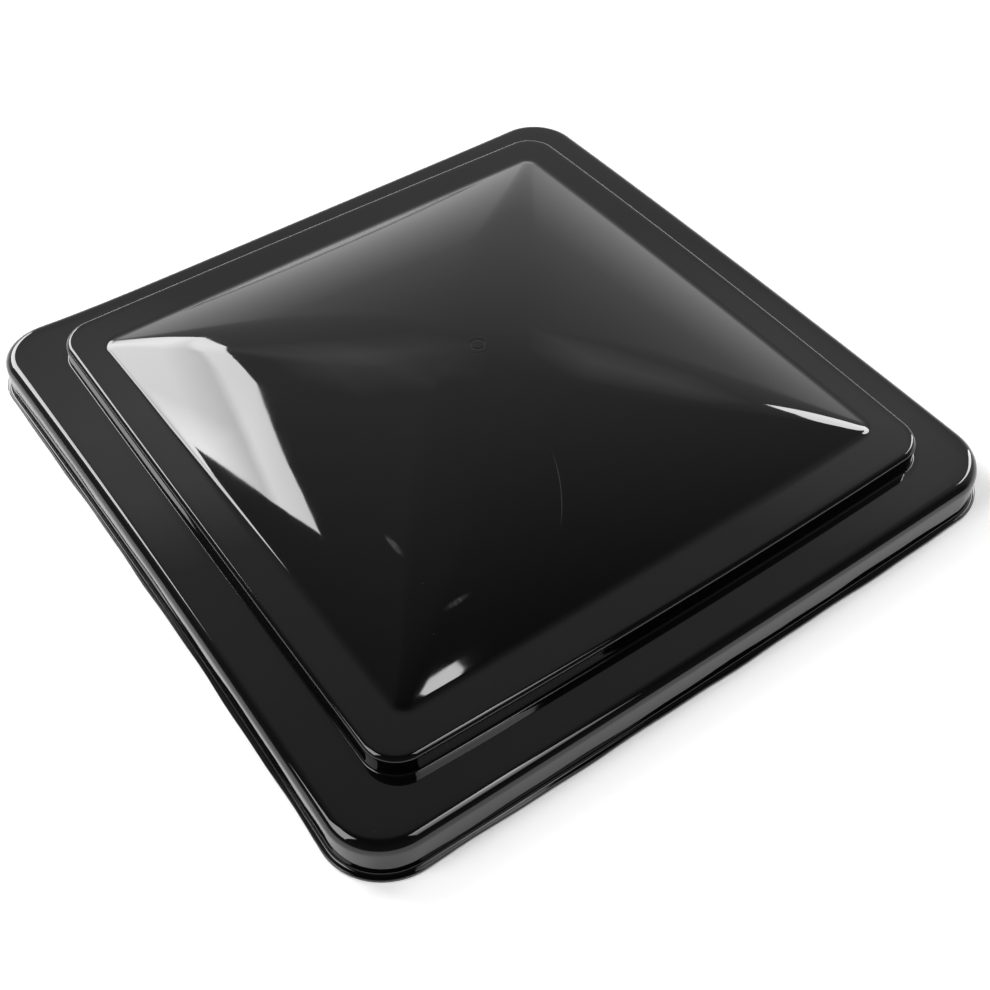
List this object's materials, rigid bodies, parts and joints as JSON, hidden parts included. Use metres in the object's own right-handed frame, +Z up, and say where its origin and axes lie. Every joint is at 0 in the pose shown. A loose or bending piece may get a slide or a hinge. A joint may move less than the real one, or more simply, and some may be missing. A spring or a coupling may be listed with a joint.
{
  "type": "roof vent cover",
  "caption": "Square gloss black moulded roof vent lid with stepped ledge, low four-sided dome, foam seal, rear hinges and an underside lift track with a sliding arm shoe",
  "frame": {"origin": "middle of the lid's resting plane, under the dome", "axes": "+Z up through the dome's top, +Y toward the hinge side, +X to the right seen from the front"},
  "size_m": [0.4068, 0.4118, 0.066],
  "materials": {
    "lid_shell": "gloss black moulding",
    "seal_gasket": "closed-cell foam",
    "lift_track": "zinc-plated sheet",
    "track_screw_front_left": "bright steel",
    "track_screw_front_right": "bright steel",
    "track_screw_rear_left": "bright steel",
    "track_screw_rear_right": "bright steel",
    "slider_shoe": "natural nylon",
    "arm_pivot_pin": "bright steel",
    "pin_retaining_clip": "spring steel",
    "lid_hinge_leaf_left": "zinc-plated sheet",
    "lid_hinge_leaf_right": "zinc-plated sheet",
    "base_hinge_leaf_left": "zinc-plated sheet",
    "base_hinge_leaf_right": "zinc-plated sheet",
    "hinge_pin_left": "bright steel",
    "hinge_pin_right": "bright steel",
    "hinge_rivet_left_1": "rivet alloy",
    "hinge_rivet_left_2": "rivet alloy",
    "hinge_rivet_right_1": "rivet alloy",
    "hinge_rivet_right_2": "rivet alloy"
  },
  "bodies": {
    "lid": {"lid_shell": "lid_shell", "seal_gasket": "seal_gasket", "lift_track": "lift_track", "track_screw_front_left": "track_screw_front_left", "track_screw_front_right": "track_screw_front_right", "track_screw_rear_left": "track_screw_rear_left", "track_screw_rear_right": "track_screw_rear_right", "lid_hinge_leaf_left": "lid_hinge_leaf_left", "lid_hinge_leaf_right": "lid_hinge_leaf_right", "hinge_pin_left": "hinge_pin_left", "hinge_pin_right": "hinge_pin_right", "hinge_rivet_left_1": "hinge_rivet_left_1", "hinge_rivet_left_2": "hinge_rivet_left_2", "hinge_rivet_right_1": "hinge_rivet_right_1", "hinge_rivet_right_2": "hinge_rivet_right_2"},
    "shoe": {"slider_shoe": "slider_shoe", "arm_pivot_pin": "arm_pivot_pin", "pin_retaining_clip": "pin_retaining_clip"},
    "left_hinge_leaf": {"base_hinge_leaf_left": "base_hinge_leaf_left"},
    "right_hinge_leaf": {"base_hinge_leaf_right": "base_hinge_leaf_right"}
  },
  "joints": [
    {"name": "shoe_slide", "type": "slide", "parent": "lid", "child": "shoe", "axis": [0, 1, 0], "range_m": [-0.13, 0.13]},
    {"name": "left_hinge", "type": "hinge", "parent": "lid", "child": "left_hinge_leaf", "pos_m": [-0.11, 0.1974, 0.0038], "axis": [-1, 0, 0], "range_deg": [0, 90]},
    {"name": "right_hinge", "type": "hinge", "parent": "lid", "child": "right_hinge_leaf", "pos_m": [0.11, 0.1974, 0.0038], "axis": [-1, 0, 0], "range_deg": [0, 90]}
  ],
  "couplings": [
    {"joint": "right_hinge", "follows": "left_hinge", "ratio": 1}
  ]
}
